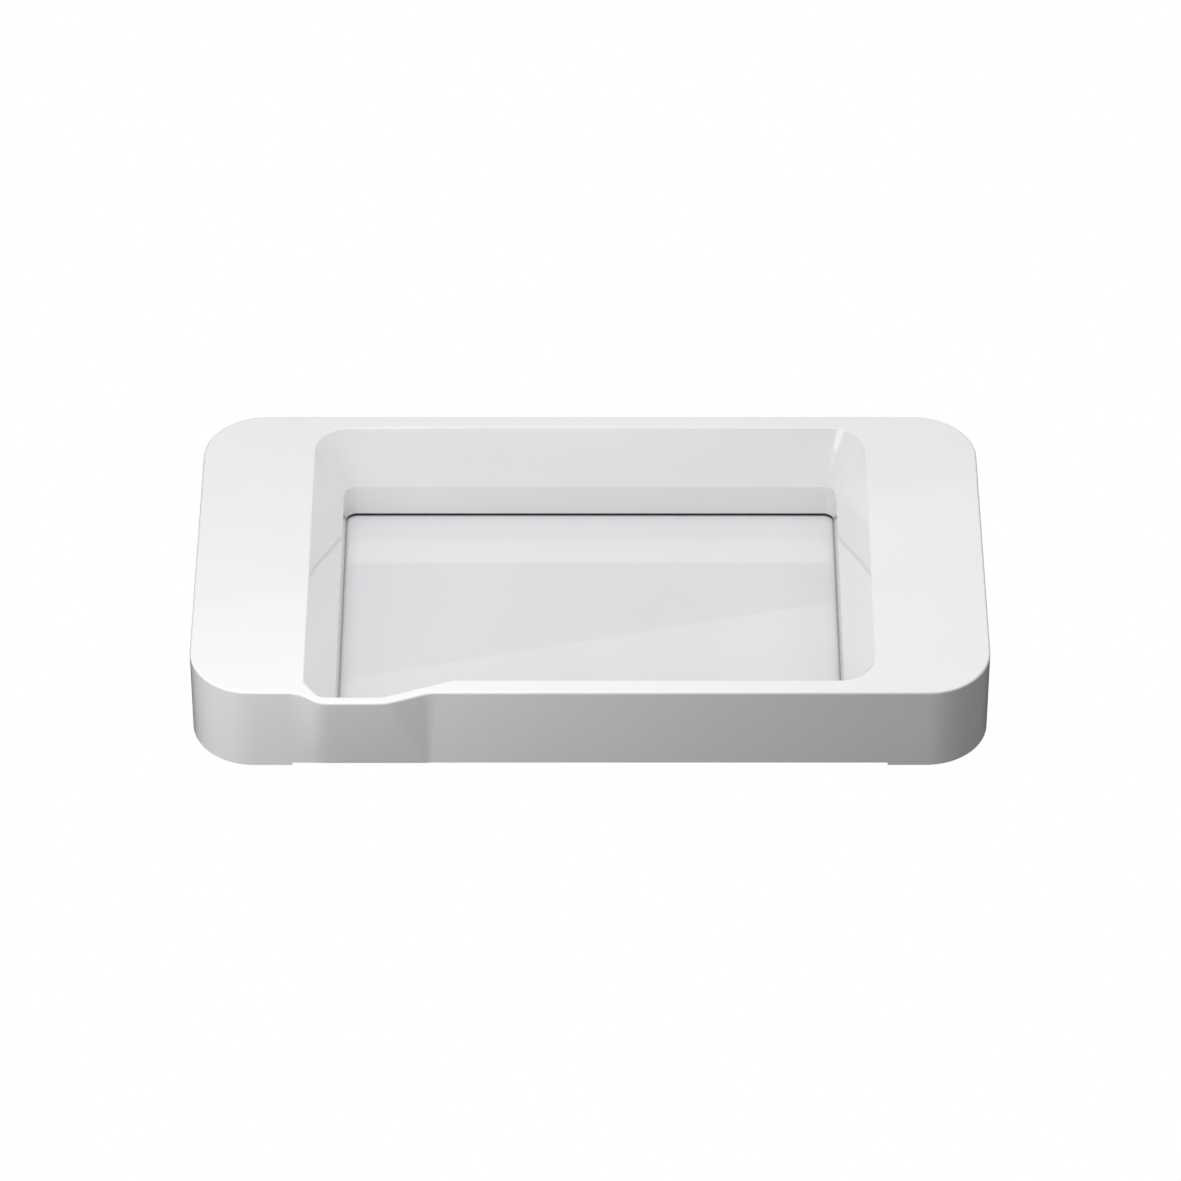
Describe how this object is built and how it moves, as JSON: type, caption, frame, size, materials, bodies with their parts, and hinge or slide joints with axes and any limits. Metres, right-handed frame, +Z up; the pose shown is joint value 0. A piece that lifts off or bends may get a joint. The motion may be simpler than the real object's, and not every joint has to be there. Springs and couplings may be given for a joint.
{
  "type": "developing tray",
  "caption": "Low rectangular darkroom tray: one sloped basin, two broad flat grips, a pouring lip in the front rim, closed underside with raised ends.",
  "frame": {"origin": "on the surface that the tray stands on, under the centre of its outline, pouring lip included", "axes": "+X along the tray to the right grip, +Y to the back, away from the pouring lip, +Z up"},
  "size_m": [0.5, 0.2818, 0.061],
  "materials": {
    "shell_plastic": "glossy moulded white plastic",
    "floor_plastic": "glossy moulded plastic, slightly cooler white",
    "seal_rubber": "matt black rubber",
    "screw_steel": "plain stainless steel",
    "pad_rubber": "fine matt grey rubber"
  },
  "bodies": {
    "root": {"top_shell": "shell_plastic", "base_pan": "floor_plastic", "basin_seal": "seal_rubber", "perimeter_seal": "seal_rubber", "basin_screws": "screw_steel", "end_screws": "screw_steel", "front_left_pad": "pad_rubber", "front_right_pad": "pad_rubber", "back_left_pad": "pad_rubber", "back_right_pad": "pad_rubber"}
  },
  "joints": []
}
